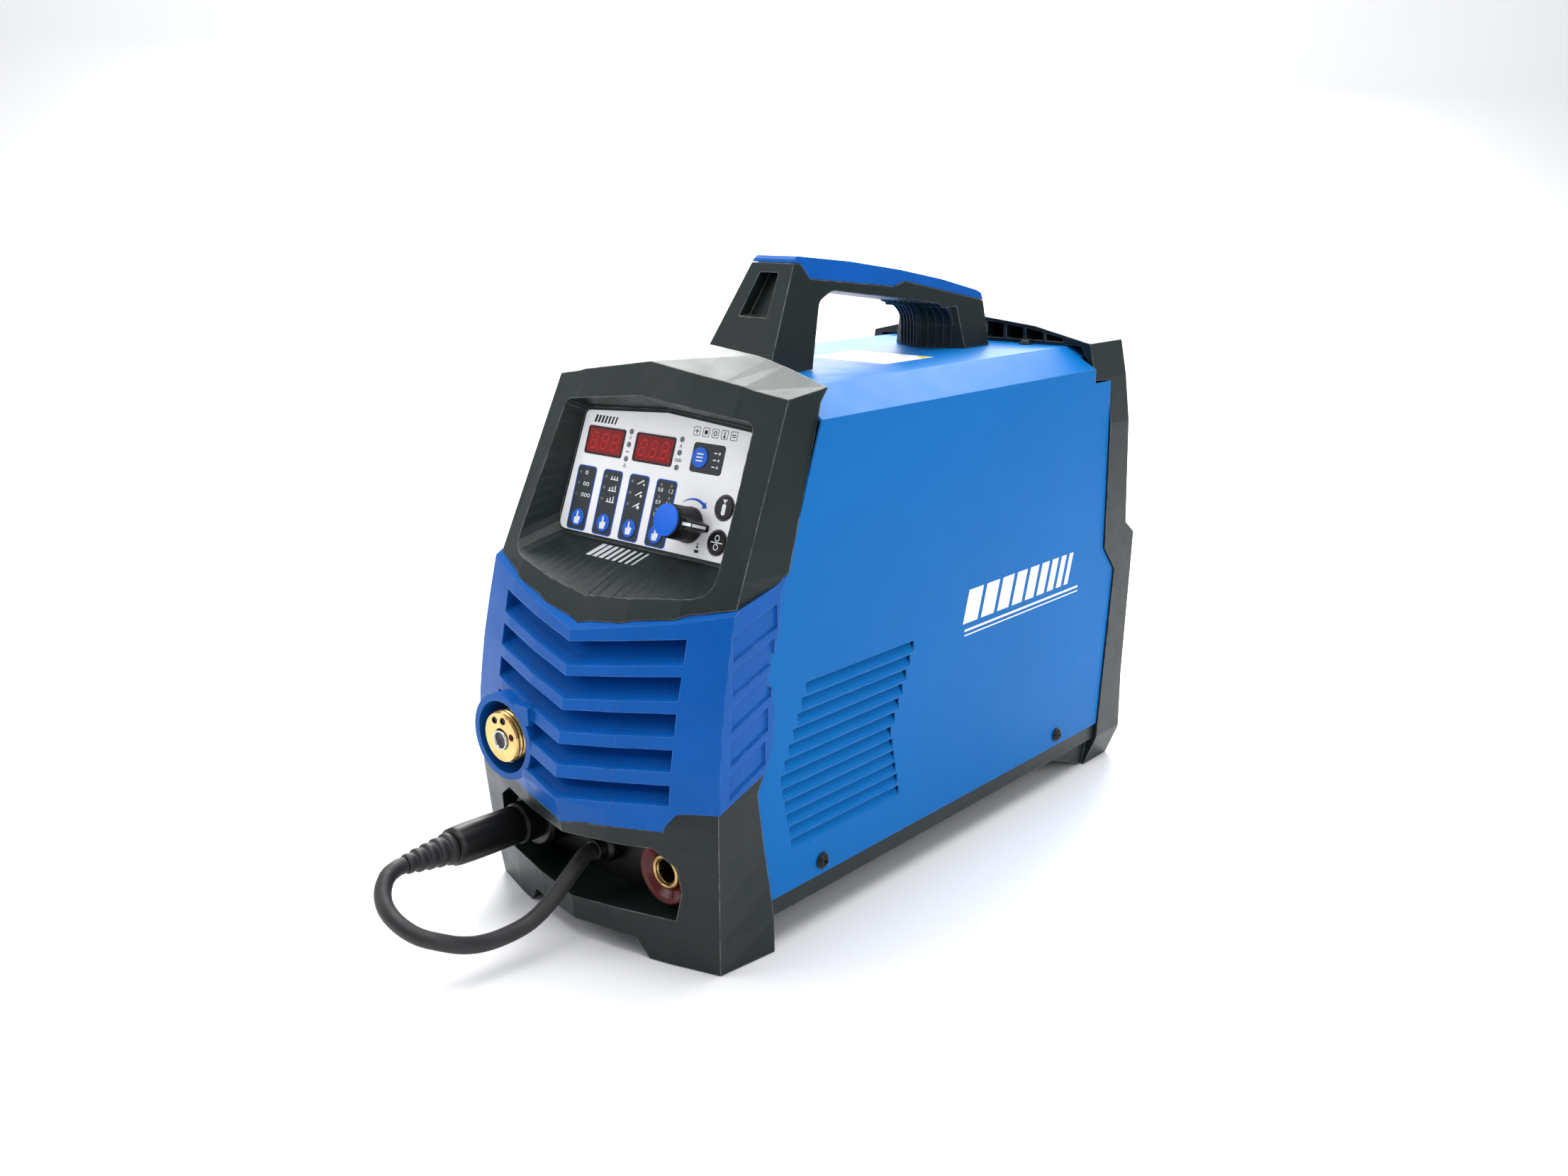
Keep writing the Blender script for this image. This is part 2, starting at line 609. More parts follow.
# ---------------------------------------------------------------- front sockets
def torch_connector(brass, black, steel):
    """Central torch connector: threaded brass body, insulator, pins and wire tube."""
    crest, root, pitch = 0.0145, 0.0137, 0.0026
    profile = [(0.0052, -0.0300), (0.0120, -0.0300), (0.0120, -0.0100), (crest, -0.0100)]
    for turn in range(4):
        start = -0.0090 + turn * pitch
        profile += [(crest, start), (root, start + pitch * 0.4), (root, start + pitch * 0.6)]
    profile += [(crest, 0.0014), (0.0138, 0.0022), (0.0052, 0.0022)]
    centre = Vector((-SOCKET_X, SHROUD_FRONT + 0.0015, TORCH_Z))
    body = turned("torch_socket", profile, centre, (0, -1, 0), brass, 32)
    holes = []
    for x, z in TORCH_PIN_HOLES:
        holes.append(rod("pin_hole", centre + Vector((x, -0.0022, z)), 0.0021, 0.0160, sides=12))
    cut(body, merged("torch_pin_holes", *holes))
    tube = [(0.0026, -0.0420), (0.0049, -0.0420), (0.0049, -0.0060), (0.0043, -0.0060), (0.0026, -0.0110)]
    turned("wire_inlet_tube", tube, centre, (0, -1, 0), steel, 24)
    flange = [(0.0124, -0.0250), (0.0190, -0.0250), (0.0190, -0.0140), (0.0124, -0.0140)]
    turned("torch_insulator", flange, centre, (0, -1, 0), black, 32)


def work_socket(red, brass, black):
    """Panel socket pair: a dark red flange on the right, a black one on the left."""
    flange = [(0.0100, -0.0110), (0.0175, -0.0110), (0.0175, -0.0018), (0.0160, 0.0), (0.0142, -0.0006),
              (0.0100, -0.0036)]
    ring = [(0.0065, -0.0320), (0.0085, -0.0320), (0.0085, -0.0108), (0.0096, -0.0108), (0.0096, -0.0030),
            (0.0088, -0.0022), (0.0072, -0.0022), (0.0065, -0.0030)]
    centre = Vector((SOCKET_X, SOCKET_FACE, SOCKET_Z))
    turned("work_socket_flange", flange, centre, (0, -1, 0), red, 36)
    turned("work_socket_insert", ring, centre, (0, -1, 0), brass, 28)
    collar = [(0.0100, -0.0110), (0.0170, -0.0110), (0.0170, 0.0), (0.0152, 0.0022), (0.0100, 0.0022)]
    left = Vector((-SOCKET_X, SOCKET_FACE, SOCKET_Z))
    turned("lead_socket_flange", collar, left, (0, -1, 0), black, 32)
    turned("lead_socket_insert", ring, left, (0, -1, 0), brass, 24)


def socket_plate(mat):
    plate = box("socket_plate", (-0.0785, SOCKET_PLATE[0], 0.0220), (0.0785, SOCKET_PLATE[1], 0.0755), mat)
    holes = [rod("hole", (x, SOCKET_PLATE[0], SOCKET_Z), 0.0089, 0.02, sides=24) for x in (-SOCKET_X, SOCKET_X)]
    holes.append(rod("hole", (0, SOCKET_PLATE[0], GLAND_Z), LEAD_RADIUS + 0.0004, 0.02, sides=16))
    cut(plate, merged("plate_holes", *holes))
    return plate


LEAD_ROUTE = mm((-52, -277.7, 49.9), (-51.9, -281.2, 50), (-49.6, -289.5, 48.6), (-43, -297, 44.5),
                (-34, -301, 40), (-24, -300.5, 35), (-15, -296, 30), (-8, -288, 26), (-4, -279, 22),
                (-2, -268, 19), (0, -255, 18.5), (2, -240, 21), (2.6, -226, 28), (2, -212, 37.5),
                (0, -199.2, 44), (0, -194.9, 44))


def smooth_route(points, spacing):
    """Points along a smooth curve through a route, whose first and last stretches stay straight."""
    route = [Vector(point) for point in points]
    kept = route[:2]
    for a, b, c, d in zip(route, route[1:], route[2:], route[3:]):
        for step in range(1, 13):
            t = step / 12
            point = 0.5 * (2 * b + (c - a) * t + (2 * a - 5 * b + 4 * c - d) * t * t
                           + (3 * b - a - 3 * c + d) * t ** 3)
            if (point - kept[-1]).length >= spacing and (route[-2] - point).length > spacing / 2:
                kept.append(point)
    return kept + route[-2:]


def polarity_lead(black, rubber):
    """Short lead from the gland to a quarter-turn plug in the left socket."""
    centre = Vector((-SOCKET_X, SOCKET_FACE - 0.0030, SOCKET_Z))
    plug = [(0.0, 0.0), (0.0118, 0.0), (0.0118, 0.0100), (0.0104, 0.0120), (0.0110, 0.0300), (0.0102, 0.0540),
            (0.0, 0.0540)]
    turned("plug_body", plug, centre, (0, -1, 0.035), black, 24)
    boot = [(0.0, 0.0)]
    for rib in range(4):
        start, radius = rib * 0.0062, 0.0088 - rib * 0.0008
        boot += [(radius, start), (radius, start + 0.0034), (radius - 0.0014, start + 0.0042)]
    boot += [(0.0056, 0.0262), (0.0052, 0.0282), (0.0, 0.0282)]
    tip = centre + Vector((0, -1, 0.035)).normalized() * (0.0540 + GAP)
    turned("plug_boot", boot, tip, (0, -1, 0.035), rubber, 20)
    curve = bpy.data.curves.new("polarity_lead", "CURVE")
    curve.dimensions = "3D"
    curve.bevel_depth = LEAD_RADIUS
    curve.bevel_resolution = 2
    curve.use_fill_caps = True
    points = smooth_route(LEAD_ROUTE, 0.0100)
    spline = curve.splines.new("POLY")
    spline.points.add(len(points) - 1)
    for place, point in zip(spline.points, points):
        place.co = (*point, 1.0)
    lead = bpy.data.objects.new("polarity_lead", curve)
    PART.objects.link(lead)
    curve.materials.append(rubber)
    gland = [(0.0, 0.0), (0.0095, 0.0), (0.0095, 0.0070), (0.0068, 0.0085), (0.0060, 0.0135), (0.0, 0.0135)]
    turned("lead_gland", gland, (0, SOCKET_PLATE[0] - GAP, GLAND_Z), (0, -1, 0), black, 16)


# ---------------------------------------------------------------- casing
DOOR_AXIS = Vector((-0.0905, 0.0, 0.2620))
DOOR_BARREL = 0.0020
FRAME_EDGE = mm((158.1, 293.1), (160.8, 269.3), (177.8, 268.3), (180.3, 156.0), (195.3, 139.1), (183.5, 17.0))
FRAME_REAR = mm((208, 0), (214.5, 17), (213.5, 60), (218.9, 160.9), (206.9, 169.6), (199.2, 287.1), (197, 320))
FRAME_INSIDE = 0.0887
FRAME_CORNER = 0.0800        # where the opening's top corners begin


def ahead_of_cover(name, clear):
    """The zone of the front mouldings, grown backwards by a clearance."""
    edge = [(y + clear, z) for y, z in REAR_EDGE]
    return side_prism(name, [(-0.26, 0.32), (edge[0][0], 0.32)] + edge + [(edge[-1][0], -0.02), (-0.26, -0.02)],
                      -0.12, 0.12)


def frame_side_zone(name, clear, x_low, x_high):
    """The zone of the rear frame's side walls, grown forwards by a clearance."""
    edge = [(y - clear, z - clear) for y, z in FRAME_EDGE]
    outline = [(edge[0][0], 0.33)] + edge + [(edge[-1][0], -0.02), (0.24, -0.02), (0.24, 0.33)]
    return side_prism(name, outline, x_low, x_high)


def body_cover(mat):
    """One folded sheet: right side, chamfers, top, and the strip above the door."""
    profile = [(COVER_HALF, COVER_BOTTOM), (COVER_HALF, CHAMFER_LOW), (TOP_HALF, CHAMFER_HIGH),
               (-TOP_HALF, CHAMFER_HIGH), (-COVER_HALF, CHAMFER_LOW),
               (-COVER_HALF, DOOR_AXIS.z + DOOR_BARREL + GAP)]
    bm = bmesh.new()
    front = [bm.verts.new((x, -0.166, z)) for x, z in profile]
    back = [bm.verts.new((x, 0.1950, z)) for x, z in profile]
    for i in range(len(profile) - 1):
        bm.faces.new((front[i], front[i + 1], back[i + 1], back[i]))
    mesh = bpy.data.meshes.new("body_cover")
    bmesh.ops.recalc_face_normals(bm, faces=bm.faces)
    bm.to_mesh(mesh)
    bm.free()
    cover = add_object("body_cover", mesh, mat)
    shell = cover.modifiers.new("sheet", "SOLIDIFY")
    shell.thickness = SHEET
    shell.offset = -1.0
    shell.use_even_offset = True
    cut(cover, ahead_of_cover("cover_front", GAP))
    cut(cover, frame_side_zone("cover_rear_right", GAP, FRAME_INSIDE - GAP, 0.12))
    cut(cover, frame_side_zone("cover_rear_left", GAP, -0.12, -FRAME_INSIDE + GAP))
    for low, high in ((FRAME_CORNER - GAP, 0.12), (-0.12, GAP - FRAME_CORNER)):
        cut(cover, box("cover_corner", (low, FRAME_EDGE[0][0] - GAP, 0.2680), (high, 0.22, 0.32)))
    cut(cover, louvre_openings())
    join(cover, louvre_ramps())
    return cover


LOUVRES = 12
LOUVRE_TOP = 0.1427
LOUVRE_PITCH = 0.00764


def louvre_span(index):
    """Front and rear end of a louvre: the block leans forward, then back."""
    lean = -0.1250 - 0.00333 * min(index, 6) + 0.0016 * max(index - 6, 0)
    return lean, lean + 0.0935


def louvre_openings():
    openings = []
    for index in range(LOUVRES):
        front, back = louvre_span(index)
        z = LOUVRE_TOP - index * LOUVRE_PITCH
        openings.append(box("opening", (0.085, front, z - 0.0064), (0.097, back, z)))
    return merged("louvre_openings", *openings)


def louvre_ramps():
    """Below each cut the sheet is pressed inwards, and slopes back out to flush."""
    ramps = []
    for index in range(LOUVRES):
        front, back = louvre_span(index)
        top = LOUVRE_TOP - index * LOUVRE_PITCH
        section = mm((0, -6.9), (-0.9, -4.8), (-2.2, -2.6), (-3.3, -0.9), (-4.2, -1.2), (-3.0, -3.2),
                     (-1.8, -5.4), (-1.1, -7.2))
        outline = [(COVER_HALF + x, top + z) for x, z in section]
        ramps.append(front_prism("ramp", outline, front - 0.0002, back + 0.0002))
    return merged("louvre_ramps", *ramps)


def base_tray(mat):
    tray = box("base_tray", (-0.0904, -0.1512, 0.0185), (0.0904, 0.1830, 0.0450), mat)
    cut(tray, box("tray_inside", (-0.0892, -0.16, 0.0197), (0.0892, 0.20, 0.06)))
    return tray


def side_door(mat):
    """Door of the wire bay, with its rolled hinge edge along the top."""
    door = box("side_door", (-COVER_HALF, -0.166, 0.0335), (-COVER_HALF + SHEET, 0.196, 0.2610), mat)
    cut(door, ahead_of_cover("door_front", 0.0006))
    cut(door, frame_side_zone("door_rear", 0.0006, -0.12, -FRAME_INSIDE + GAP))
    spots = {"door_latch_front": -0.0950, "door_latch_rear": 0.1200}
    cut(door, merged("latch_holes", *[
        rod("hole", (-0.0914, y, 0.0540), 0.0046, 0.010, "X", sides=20) for y in spots.values()]))
    join(door, rod("hinge_roll", (DOOR_AXIS.x, 0.0200, DOOR_AXIS.z), DOOR_BARREL, 0.2600, "Y", sides=12))
    set_origin(door, DOOR_AXIS)


def door_latches(mat):
    """Quarter-turn latches, shown undone: turned down, the tongue goes behind the tray wall."""
    for name, y in (("door_latch_front", -0.0950), ("door_latch_rear", 0.1200)):
        latch = rod(name, (-0.0934, y, 0.0540), 0.0075, 0.0022, "X", mat, 20)
        join(latch, rod("latch_shaft", (-0.0905, y, 0.0540), 0.0040, 0.0060, "X", sides=16))
        join(latch, box("latch_tongue", (-0.0889, y - 0.0040, 0.0505), (-0.0874, y + 0.0200, 0.0575)))
        cut(latch, box("coin_slot", (-0.0955, y - 0.0055, 0.0532), (-0.0938, y + 0.0055, 0.0548)))
        set_origin(latch, (-0.0934, y, 0.0540))


SCREW_HEAD = [(0.0, -0.0004), (0.0046, -0.0004), (0.0046, 0.0002), (0.0030, 0.0016), (0.0, 0.0017)]


def cover_screws(mat):
    for name, y in (("cover_screw_front", -0.1117), ("cover_screw_rear", 0.1305)):
        head = turned(name, SCREW_HEAD, (COVER_HALF + 0.0007, y, 0.0372), (1, 0, 0), mat, 20)
        cut(head, box("driver_slot", (COVER_HALF + 0.0016, y - 0.0026, 0.0366), (0.098, y + 0.0026, 0.0378)))
    top = Vector((0.0423, 0.1530, CHAMFER_HIGH + 0.0007))
    head = turned("cover_screw_top", SCREW_HEAD, top, (0, 0, 1), mat, 20)
    cut(head, box("driver_slot", top + Vector((-0.0026, -0.0006, 0.0009)), top + Vector((0.0026, 0.0006, 0.005))))


# ---------------------------------------------------------------- handle
HANDLE_BOTTOM = CHAMFER_HIGH + GAP
HANDLE_TOP = mm((-45.0, 350.2), (-42.8, 352.0), (2.4, 347.6), (48.5, 341.2), (89.3, 334.0), (126.0, 325.6),
                (131.2, 323.4))
CAP_SEAM = mm((-60, 348.6), (-41.3, 348.0), (-34.4, 339.3), (39.8, 331.6), (52.3, 334.2), (125.4, 320.0),
              (140, 317.2))


def handle_solid(name, mat=None):
    """The whole handle, wider at its feet than along the grip."""
    outline = [(-0.0804, HANDLE_BOTTOM)] + HANDLE_TOP + [(0.1322, 0.3190), (0.1320, HANDLE_BOTTOM)]
    solid = side_prism(name, outline, -0.035, 0.035, mat)
    bm = bmesh.new()
    bm.from_mesh(solid.data)
    for sign in (1, -1):
        everything = bm.verts[:] + bm.edges[:] + bm.faces[:]
        result = bmesh.ops.bisect_plane(bm, geom=everything, plane_co=(sign * 0.0150, 0, 0.3518),
                                        plane_no=(sign, 0, 0.2), clear_outer=True)
        rim = [item for item in result["geom_cut"] if isinstance(item, bmesh.types.BMEdge)]
        bmesh.ops.contextual_create(bm, geom=rim)
    bmesh.ops.recalc_face_normals(bm, faces=bm.faces)
    bm.to_mesh(solid.data)
    bm.free()
    return solid


def handle_frame(mat):
    frame = handle_solid("handle_frame", mat)
    cut(frame, side_prism("cap_zone", CAP_SEAM + [(0.140, 0.40), (-0.060, 0.40)], -0.05, 0.05))
    grip = [(-0.0480, 0.2800), (-0.0294, 0.3270), (-0.0168, 0.3322), (0.0840, 0.3195), (0.0900, 0.3120),
            (0.0900, 0.2800)]
    cut(frame, side_prism("grip_opening", rounded(grip, [0, 0.008, 0.012, 0.006, 0.006, 0], 4), -0.05, 0.05))
    for sign in (1, -1):
        low = [(0, 0.0900, 0.285), (sign * 0.032, 0.1078, 0.285), (sign * 0.032, 0.0800, 0.285), (0, 0.0800, 0.285)]
        high = [(x, y, 0.3165) for x, y, _ in low]
        cut(frame, loft("prow", [low, high]))
    face = [(-0.0106, 319.5), (0.0106, 319.5), (0.0069, 343.0), (-0.0069, 343.0)]
    rings = []
    for depth in (-0.004, 0.009):
        rings.append([(x, front_leg_y(z * MM) + depth, z * MM) for x, z in face])
    cut(frame, loft("leg_pocket", rings))
    return frame


def front_leg_y(z):
    """Front face of the handle's front leg."""
    return -0.0804 + (z - HANDLE_BOTTOM) * (0.0354 / 0.0596)


def handle_cap(mat):
    cap = handle_solid("handle_cap", mat)
    seam = [(y, z + GAP) for y, z in CAP_SEAM]
    keep(cap, side_prism("above_seam", seam + [(0.140, 0.40), (-0.060, 0.40)], -0.05, 0.05))
    return cap


# ---------------------------------------------------------------- rear end
FRAME_ARCH = mm((0, 306.5), (45, 301.8), (86.5, 292.6))


def arch_z(x):
    return lerp(FRAME_ARCH, abs(x))


def rear_frame(mat):
    half = FRAME_ARCH + mm((90.4, 270), (93.4, 240), (93.4, 20), (88.0, 0), (88.0, -4))
    frame = front_prism("rear_frame", mirrored(half[:-1]), 0.150, 0.225, mat)
    zone = [(0.1581, 0.33)] + FRAME_EDGE + mm((177, 0), (177, -5), (208, -5)) + FRAME_REAR + [(0.197, 0.33)]
    keep(frame, side_prism("frame_zone", zone, -0.12, 0.12))
    window = [(FRAME_CORNER, CHAMFER_HIGH + 0.0006)] + mm((84.6, 281.5), (88.2, 262), (88.7, 250), (88.7, 24))
    cut(frame, front_prism("frame_window", mirrored(window), 0.14, 0.24))
    arch = mirrored(mm((0, 9.0), (40, 9.0), (52, 0), (52, -10)))
    cut(frame, front_prism("rear_arch", arch, 0.14, 0.24))
    cells = []
    for index in range(9):
        left, right = (-67.95 + index * 15.1 + 1.0) * MM, (-67.95 + (index + 1) * 15.1 - 1.0) * MM
        outline = [(left, 0.2928), (right, 0.2928), (right, arch_z(right) - 0.0022), (left, arch_z(left) - 0.0022)]
        cells.append(front_prism("cell", outline, 0.150, 0.180))
    cut(frame, merged("rib_cells", *cells))
    for sign in (1, -1):
        gusset = mm((135, 17.8), (135, 15.5), (177, 0), (184, 0), (186, 17.8))
        low, high = sorted((sign * 0.0600, sign * 0.0860))
        join(frame, side_prism("foot_gusset", gusset, low, high))
    return frame


def fan_opening(name, radius, y_low, y_high):
    centre = (FAN_CENTRE.x, (y_low + y_high) / 2, FAN_CENTRE.z)
    return rod(name, centre, radius, y_high - y_low, sides=32)


SWITCH_SPOT = Vector((0.0340, REAR_PANEL[1], 0.1050))
GAS_SPOT = Vector((-0.0500, REAR_PANEL[1], 0.0620))
MAINS_SPOT = Vector((0.0340, REAR_PANEL[1], 0.0620))


def fan_grille():
    """Ring slots in front of the fan, broken by four spokes."""
    y_low, y_high = REAR_PANEL[0] - 0.004, REAR_PANEL[1] + 0.004
    slots = []
    for radius in (0.0120, 0.0200, 0.0280, 0.0360):
        for quarter in range(4):
            start = math.radians(quarter * 90 + 45) + 0.0028 / radius
            stop = math.radians(quarter * 90 + 135) - 0.0028 / radius
            steps = 7
            inner, outer = [], []
            for step in range(steps + 1):
                angle = start + (stop - start) * step / steps
                unit = Vector((math.cos(angle), math.sin(angle)))
                middle = Vector((FAN_CENTRE.x, FAN_CENTRE.z))
                inner.append(tuple(middle + unit * radius))
                outer.append(tuple(middle + unit * (radius + 0.0052)))
            slots.append(front_prism("ring_slot", inner + outer[::-1], y_low, y_high))
    return merged("fan_grille", *slots)


def rear_panel(mat):
    half = [(FRAME_CORNER - GAP, CHAMFER_HIGH - GAP)] + mm((84.2, 281.2), (87.8, 262), (88.4, 249.7), (88.4, 24.3))
    panel = front_prism("rear_panel", mirrored(half), *REAR_PANEL, mat)
    switch = box("switch_hole", SWITCH_SPOT + Vector((-0.0113, -0.01, -0.0138)),
                 SWITCH_SPOT + Vector((0.0113, 0.01, 0.0138)))
    gas = rod("gas_hole", GAS_SPOT, 0.0064, 0.02, sides=16)
    mains = rod("mains_hole", MAINS_SPOT, 0.0094, 0.02, sides=20)
    cut(panel, merged("rear_holes", switch, gas, mains), fan_grille())
    slits = []
    for index in range(8):
        z = 0.2450 - index * 0.0100
        slits.append(box("vent", (-0.0780, 0.19, z), (-0.0260, 0.21, z + 0.0040)))
    cut(panel, merged("rear_vents", *slits))
    return panel


def fan(black):
    """Axial fan: a square housing with a spider, and a seven-blade rotor."""
    half = 0.0460
    low = FAN_CENTRE - Vector((half, 0.0120, half))
    housing = box("fan_housing", low, FAN_CENTRE + Vector((half, 0.0120, half)), black)
    cut(housing, fan_opening("fan_bore", FAN_RADIUS, 0.10, 0.24))
    spider = rod("fan_spider", FAN_CENTRE - Vector((0, 0.0100, 0)), 0.0150, 0.0030, sides=20)
    join(housing, spider)
    for angle in (0, 90):
        turn = AXES["Y"] @ Matrix.Rotation(math.radians(angle), 4, "Z")
        bm = bmesh.new()
        size = Matrix.Diagonal((FAN_RADIUS * 2 + 0.002, 0.0060, 0.0026, 1.0))
        place = Matrix.Translation(FAN_CENTRE - Vector((0, 0.0100, 0)))
        bmesh.ops.create_cube(bm, size=1.0, matrix=place @ turn @ size)
        join(housing, finish_mesh("fan_strut", bm))
    rotor = rod("fan_rotor", FAN_CENTRE + Vector((0, 0.0010, 0)), 0.0165, 0.0170, "Y", black, 24)
    for index in range(7):
        spin = Matrix.Rotation(math.tau * index / 7, 4, "Y")
        pitch = Matrix.Rotation(math.radians(35), 4, "Z")
        bm = bmesh.new()
        size = Matrix.Diagonal((0.0160, 0.0016, FAN_RADIUS - 0.0170, 1.0))
        reach = Matrix.Translation((0, 0, (FAN_RADIUS + 0.0140) / 2))
        place = Matrix.Translation(FAN_CENTRE + Vector((0, 0.0010, 0)))
        bmesh.ops.create_cube(bm, size=1.0, matrix=place @ spin @ reach @ pitch @ size)
        join(rotor, finish_mesh("fan_blade", bm))
    set_origin(rotor, FAN_CENTRE)


def rear_fittings(black, red, brass):
    """Rocker switch, gas inlet and mains gland on the rear panel."""
    spot = SWITCH_SPOT
    housing = box("switch_housing", spot + Vector((-0.0135, GAP, -0.0160)), spot + Vector((0.0135, 0.0022, 0.0160)), black)
    join(housing, box("switch_tub", spot + Vector((-0.0110, -0.0180, -0.0135)), spot + Vector((0.0110, 0.0010, 0.0135))))
    cut(housing, box("switch_well", spot + Vector((-0.0088, -0.0130, -0.0118)), spot + Vector((0.0088, 0.01, 0.0118))))
    rocker = [(0.0050, -0.0088), (0.0026, 0.0), (0.0010, 0.0088), (-0.0050, 0.0088), (-0.0075, 0.0),
              (-0.0050, -0.0088)]
    outline = [(spot.y + y, spot.z + z) for y, z in rocker]
    switch = side_prism("power_switch", outline, spot.x - 0.0083, spot.x + 0.0083, red)
    set_origin(switch, spot)
    barb = [(0.0020, -0.0150), (0.0060, -0.0150), (0.0060, GAP), (0.0085, GAP), (0.0085, 0.0050), (0.0048, 0.0060)]
    for ridge in range(3):
        start = 0.0070 + ridge * 0.0034
        barb += [(0.0048, start), (0.0038, start + 0.0030)]
    barb += [(0.0020, 0.0172)]
    turned("gas_inlet", barb, GAS_SPOT, (0, 1, 0), brass, 16)
    gland = [(0.0055, -0.0080), (0.0090, -0.0080), (0.0090, GAP), (0.0130, GAP), (0.0130, 0.0060), (0.0105, 0.0075),
             (0.0095, 0.0160), (0.0055, 0.0160)]
    turned("mains_gland", gland, MAINS_SPOT, (0, 1, 0), black, 20)


# ---------------------------------------------------------------- inside
DRIVE_AXIS = Vector((-SOCKET_X, DRIVE_Y, TORCH_Z - ROLL_RADIUS - GAP))
PRESSURE_RADIUS = 0.0120
PRESSURE_AXIS = Vector((-SOCKET_X, DRIVE_Y, TORCH_Z + PRESSURE_RADIUS + GAP))
ARM_PIVOT = Vector((-0.0600, -0.0520, 0.1190))
LEVER_PIVOT = Vector((-0.0450, -0.1120, 0.0920))


def divider(mat):
    outline = mm((-144, 20), (-144, 170), (-138, 200), (-116, 262), (-101, 262), (-101, 288), (169, 288), (169, 20))
    sheet = side_prism("divider", outline, DIVIDER_X, DIVIDER_X + SHEET, mat)
    cut(sheet, rod("shaft_hole", (DIVIDER_X, DRIVE_Y, DRIVE_AXIS.z), 0.0060, 0.02, "X", sides=16))
    return sheet


def power_electronics(aluminium, board, copper):
    """Heatsink on the tray, the inverter board over it, and the output transformer."""
    sink = box("heatsink", (0.0100, -0.0400, 0.0200), (0.0800, 0.1400, 0.0580), aluminium)
    fins = [box("fin_gap", (0.0145 + i * 0.0090, -0.05, 0.0250), (0.0195 + i * 0.0090, 0.15, 0.0640)) for i in range(7)]
    cut(sink, merged("fin_gaps", *fins))
    inverter = box("inverter_board", (0.0050, -0.0500, 0.0583), (0.0850, 0.1500, 0.0599), board)
    for x, y in ((0.0280, 0.0), (0.0640, 0.0), (0.0280, 0.0420), (0.0640, 0.0420)):
        join(inverter, rod("capacitor", (x, y, 0.0800), 0.0150, 0.0420, "Z", sides=16))
    join(inverter, box("driver_card", (0.0150, 0.0750, 0.0590), (0.0170, 0.1350, 0.0970)))
    core = box("output_transformer", (0.0200, -0.1450, 0.0200), (0.0780, -0.0980, 0.0640), copper)
    cut(core, merged("core_windows", box("window", (0.0310, -0.16, 0.0300), (0.0400, -0.09, 0.0540)),
                     box("window", (0.0580, -0.16, 0.0300), (0.0670, -0.09, 0.0540))))
    return sink


